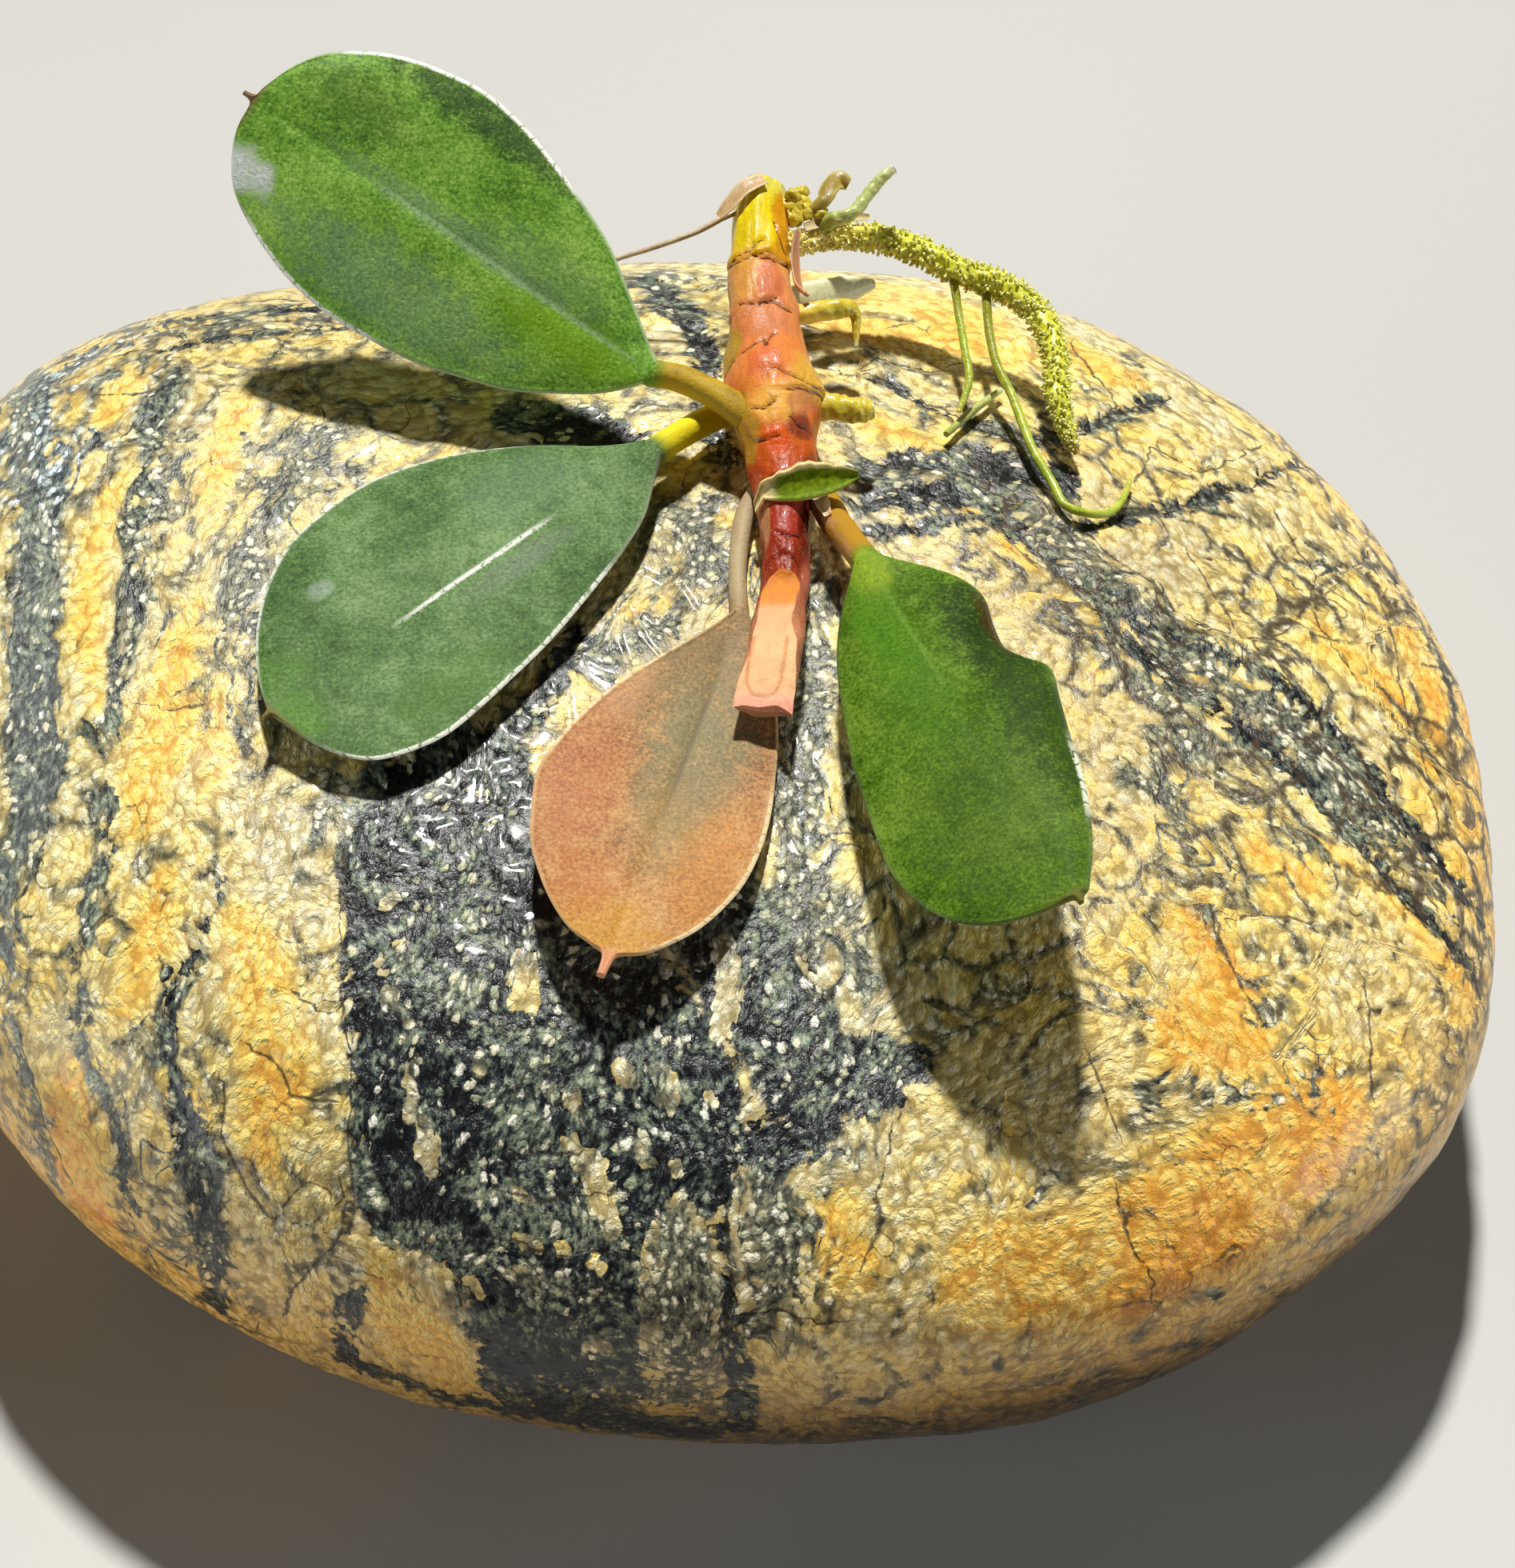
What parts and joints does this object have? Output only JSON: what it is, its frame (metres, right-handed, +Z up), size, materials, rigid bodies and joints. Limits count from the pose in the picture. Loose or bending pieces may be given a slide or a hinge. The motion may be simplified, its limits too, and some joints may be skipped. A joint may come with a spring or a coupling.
{
  "type": "bucephalandra on stone",
  "caption": "Small aquatic arum with broad leaves, a creeping rhizome and hairy roots, lying on a rounded banded river pebble that rests on its flat underside.",
  "frame": {"origin": "on the ground, under the middle of the stone's plan box", "axes": "+Z up, +X along the stone's longest side, +Y towards the growing tip of the rhizome"},
  "size_m": [0.1018, 0.0874, 0.0527],
  "materials": {
    "stone": "wet rounded stone, ochre grains in dark blue-grey bands",
    "rhizome": "smooth moist bark, red brown turning yellow at the tip",
    "leaf": "waxy deep green leaf with a pale rim",
    "brown_leaf": "wilting leaf, grey green in the middle and orange brown outside",
    "young_leaf": "fresh green inside with a thick cream rim",
    "root": "soft yellow green root covered with fine hairs",
    "pale_root": "smooth pale green root",
    "stub": "olive stump of an old leaf stalk",
    "scale": "dry papery scale, tan to cream"
  },
  "bodies": {
    "root": {"stone": "stone", "rhizome": "rhizome", "leaf_upper_left": "leaf", "leaf_middle_left": "leaf", "leaf_right": "leaf", "leaf_brown": "brown_leaf", "young_leaf": "young_leaf", "root_hairy": "root", "root_long": "root", "root_short": "root", "root_pale": "pale_root", "root_bare": "pale_root", "fibre_left": "pale_root", "stub_upper": "stub", "stub_lower": "stub", "side_knob": "stub", "scale_tip": "scale", "scale_curled": "scale", "scale_side": "scale", "scale_under_root": "scale"}
  },
  "joints": []
}
